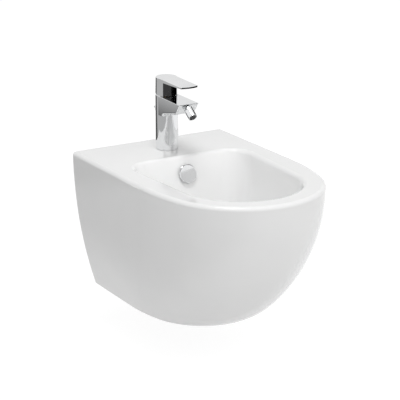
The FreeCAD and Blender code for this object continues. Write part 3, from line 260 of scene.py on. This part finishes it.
floor_mesh = flat_sheet("floor", floor_size / 2)
floor = bpy.data.objects.new("floor", floor_mesh)
floor.location = (0.0, 0.0, floor_level)
bpy.context.scene.collection.objects.link(floor)

floor_finish = bpy.data.materials.new("floor_finish")
floor_finish.use_nodes = True
tree = floor_finish.node_tree
tree.nodes.clear()
side = tree.nodes.new("ShaderNodeNewGeometry")
out = tree.nodes.new("ShaderNodeOutputMaterial")
shade = tree.nodes.new("ShaderNodeBsdfDiffuse")
shade.inputs["Color"].default_value = (floor_grey, floor_grey, floor_grey, 1.0)
glow = tree.nodes.new("ShaderNodeEmission")
glow.inputs["Strength"].default_value = floor_glow
seen = tree.nodes.new("ShaderNodeAddShader")
bounce = tree.nodes.new("ShaderNodeBsdfDiffuse")
bounce.inputs["Color"].default_value = (floor_bounce, floor_bounce, floor_bounce, 1.0)
pick = tree.nodes.new("ShaderNodeMixShader")
clear = tree.nodes.new("ShaderNodeBsdfTransparent")
one_sided = tree.nodes.new("ShaderNodeMixShader")
tree.links.new(shade.outputs["BSDF"], seen.inputs[0])
tree.links.new(glow.outputs["Emission"], seen.inputs[1])
tree.links.new(seen_or_mirrored(tree), pick.inputs["Fac"])
tree.links.new(bounce.outputs["BSDF"], pick.inputs[1])
tree.links.new(seen.outputs["Shader"], pick.inputs[2])
tree.links.new(side.outputs["Backfacing"], one_sided.inputs["Fac"])
tree.links.new(pick.outputs["Shader"], one_sided.inputs[1])
tree.links.new(clear.outputs["BSDF"], one_sided.inputs[2])
tree.links.new(one_sided.outputs["Shader"], out.inputs["Surface"])
floor_mesh.materials.append(floor_finish)


# Studio dome
# A pale surround that is brightest at the horizon, in front and a little on the right.
# Seen by the camera or in a mirror it is plain white.

horizon_light = 0.95
zenith_light = 0.1
right_light = 0.08
front_light = 0.8

world = bpy.data.worlds.new("studio_dome")
bpy.context.scene.world = world
world.use_nodes = True
tree = world.node_tree
tree.nodes.clear()
place = tree.nodes.new("ShaderNodeTexCoord")
parts = tree.nodes.new("ShaderNodeSeparateXYZ")
rise = tree.nodes.new("ShaderNodeMapRange")
rise.inputs["From Min"].default_value = 0.0
rise.inputs["From Max"].default_value = 1.0
rise.inputs["To Min"].default_value = horizon_light
rise.inputs["To Max"].default_value = zenith_light
lean = tree.nodes.new("ShaderNodeMath")
lean.operation = "MULTIPLY_ADD"
lean.inputs[1].default_value = right_light
ahead = tree.nodes.new("ShaderNodeMapRange")
ahead.inputs["From Min"].default_value = 0.0
ahead.inputs["From Max"].default_value = -1.0
ahead.inputs["To Min"].default_value = 0.0
ahead.inputs["To Max"].default_value = front_light
both = tree.nodes.new("ShaderNodeMath")
both.operation = "ADD"
dome = tree.nodes.new("ShaderNodeBackground")
dome.inputs["Color"].default_value = (1.0, 1.0, 1.0, 1.0)
white = tree.nodes.new("ShaderNodeBackground")
white.inputs["Color"].default_value = (1.0, 1.0, 1.0, 1.0)
pick = tree.nodes.new("ShaderNodeMixShader")
out = tree.nodes.new("ShaderNodeOutputWorld")
tree.links.new(place.outputs["Generated"], parts.inputs["Vector"])
tree.links.new(parts.outputs["Z"], rise.inputs["Value"])
tree.links.new(parts.outputs["X"], lean.inputs[0])
tree.links.new(rise.outputs["Result"], lean.inputs[2])
tree.links.new(parts.outputs["Y"], ahead.inputs["Value"])
tree.links.new(lean.outputs["Value"], both.inputs[0])
tree.links.new(ahead.outputs["Result"], both.inputs[1])
tree.links.new(both.outputs["Value"], dome.inputs["Strength"])
tree.links.new(seen_or_mirrored(tree), pick.inputs["Fac"])
tree.links.new(dome.outputs["Background"], pick.inputs[1])
tree.links.new(white.outputs["Background"], pick.inputs[2])
tree.links.new(pick.outputs["Shader"], out.inputs["Surface"])

bpy.context.scene.view_settings.view_transform = "Standard"


# Overhead lamp
# One square soft box high above the bowl, a little to the left.
# It draws the highlights along the rim and the soft shadow on the floor.

def soft_box(name, place, aim, width, height, power):
    """A rectangular lamp at a place, turned towards a point."""
    lamp = bpy.data.lights.new(name, "AREA")
    lamp.shape = "RECTANGLE"
    lamp.size = width
    lamp.size_y = height
    lamp.energy = power
    holder = bpy.data.objects.new(name, lamp)
    holder.location = place
    holder.rotation_mode = "QUATERNION"
    holder.rotation_quaternion = (Vector(aim) - Vector(place)).to_track_quat("-Z", "Y")
    bpy.context.scene.collection.objects.link(holder)


soft_box("overhead", place=(-0.35, -0.5, 2.1), aim=(0.0, -0.3, 0.0),
         width=0.7, height=0.7, power=18.0)


# Studio cards
# Glowing grey cards and near-black flags stand round the bidet, out of the camera's sight, and cast
# no light or shadow.
# Only the chrome and the glaze mirror them: painted reflections that give their grey bands and dark
# edges.

def flag(name, place, aim, width, height, brightness, feather):
    """A soft-edged glowing card, a painted reflection that only shiny surfaces in front of it see,
    turned towards a point.
    """
    mesh = flat_sheet(name, 1.0)
    card = bpy.data.objects.new(name, mesh)
    card.location = place
    card.scale = (width / 2, height / 2, 1.0)
    card.rotation_mode = "QUATERNION"
    card.rotation_quaternion = (Vector(aim) - Vector(place)).to_track_quat("Z", "Y")
    card.visible_camera = False
    card.visible_diffuse = False
    card.visible_transmission = False
    card.visible_volume_scatter = False
    card.visible_shadow = False
    bpy.context.scene.collection.objects.link(card)
    mirror_only_glow = bpy.data.materials.new(name)
    mirror_only_glow.use_nodes = True
    tree = mirror_only_glow.node_tree
    tree.nodes.clear()
    spot = tree.nodes.new("ShaderNodeTexCoord")
    from_middle = tree.nodes.new("ShaderNodeVectorMath")
    from_middle.operation = "ABSOLUTE"
    axes = tree.nodes.new("ShaderNodeSeparateXYZ")
    furthest = tree.nodes.new("ShaderNodeMath")
    furthest.operation = "MAXIMUM"
    edge = tree.nodes.new("ShaderNodeMapRange")
    edge.interpolation_type = "SMOOTHSTEP"
    edge.inputs["From Min"].default_value = 1.0
    edge.inputs["From Max"].default_value = 1.0 - feather
    side = tree.nodes.new("ShaderNodeNewGeometry")
    front = tree.nodes.new("ShaderNodeMath")
    front.operation = "SUBTRACT"
    front.use_clamp = True
    clear = tree.nodes.new("ShaderNodeBsdfTransparent")
    # The card's glow is seen only in reflections: a painted reflection, grey or near black, not a
    # lamp.
    glow = tree.nodes.new("ShaderNodeEmission")
    glow.inputs["Strength"].default_value = brightness
    blend = tree.nodes.new("ShaderNodeMixShader")
    out = tree.nodes.new("ShaderNodeOutputMaterial")
    tree.links.new(spot.outputs["Object"], from_middle.inputs["Vector"])
    tree.links.new(from_middle.outputs["Vector"], axes.inputs["Vector"])
    tree.links.new(axes.outputs["X"], furthest.inputs[0])
    tree.links.new(axes.outputs["Y"], furthest.inputs[1])
    tree.links.new(furthest.outputs["Value"], edge.inputs["Value"])
    tree.links.new(edge.outputs["Result"], front.inputs[0])
    tree.links.new(side.outputs["Backfacing"], front.inputs[1])
    tree.links.new(front.outputs["Value"], blend.inputs["Fac"])
    tree.links.new(clear.outputs["BSDF"], blend.inputs[1])
    tree.links.new(glow.outputs["Emission"], blend.inputs[2])
    tree.links.new(blend.outputs["Shader"], out.inputs["Surface"])
    mesh.materials.append(mirror_only_glow)


# Painted reflections: the grey cards paint grey bands and the near-black flags paint dark edges
# into the chrome and the glaze.
flag("left_card", place=(-2.2, 0.0, -0.3), aim=(-2.2, 0.0, 1.0),
     width=4.2, height=6.0, brightness=0.5, feather=0.15)
flag("rear_screen", place=(1.9, 3.3, 1.25), aim=(0.0, -0.1, 0.2),
     width=5.0, height=2.6, brightness=0.87, feather=0.25)
flag("rear_flag", place=(0.13, 1.9, -0.29), aim=(0.13, 1.9, 1.0),
     width=2.4, height=2.6, brightness=0.1, feather=0.22)
flag("bowl_card", place=(0.2, -0.5, 0.14), aim=(0.0, -0.165, 0.05),
     width=0.34, height=0.1, brightness=0.7, feather=0.03)
flag("near_left_flag", place=(-0.068, -0.266, 0.265), aim=(0.0, -0.078, 0.265),
     width=0.44, height=0.27, brightness=0.05, feather=0.12)
flag("near_right_flag", place=(0.164, -0.193, 0.265), aim=(0.0, -0.078, 0.265),
     width=0.44, height=0.27, brightness=0.0, feather=0.12)


# Camera
# A long lens a little above the rim, to the left of the bidet's front.
# Its angle, distance and shift were fitted to the rim, the bowl and the sides in the photograph.

camera_azimuth = math.radians(-31.119)
camera_elevation = math.radians(18.002)
camera_distance = 3.10106
camera_reach = 100.0
target = Vector((0.0, -0.25, -0.02))

camera_data = bpy.data.cameras.new("camera")
camera_data.sensor_width = 36.0
camera_data.lens = 134.87
camera_data.shift_x = -0.0214
camera_data.shift_y = 0.0343
camera_data.clip_end = camera_reach
camera = bpy.data.objects.new("camera", camera_data)
bpy.context.scene.collection.objects.link(camera)
back = Vector((
    math.sin(camera_azimuth) * math.cos(camera_elevation),
    -math.cos(camera_azimuth) * math.cos(camera_elevation),
    math.sin(camera_elevation),
))
camera.location = target + back * camera_distance
camera.rotation_mode = "QUATERNION"
camera.rotation_quaternion = (-back).to_track_quat("-Z", "Y")
bpy.context.scene.camera = camera
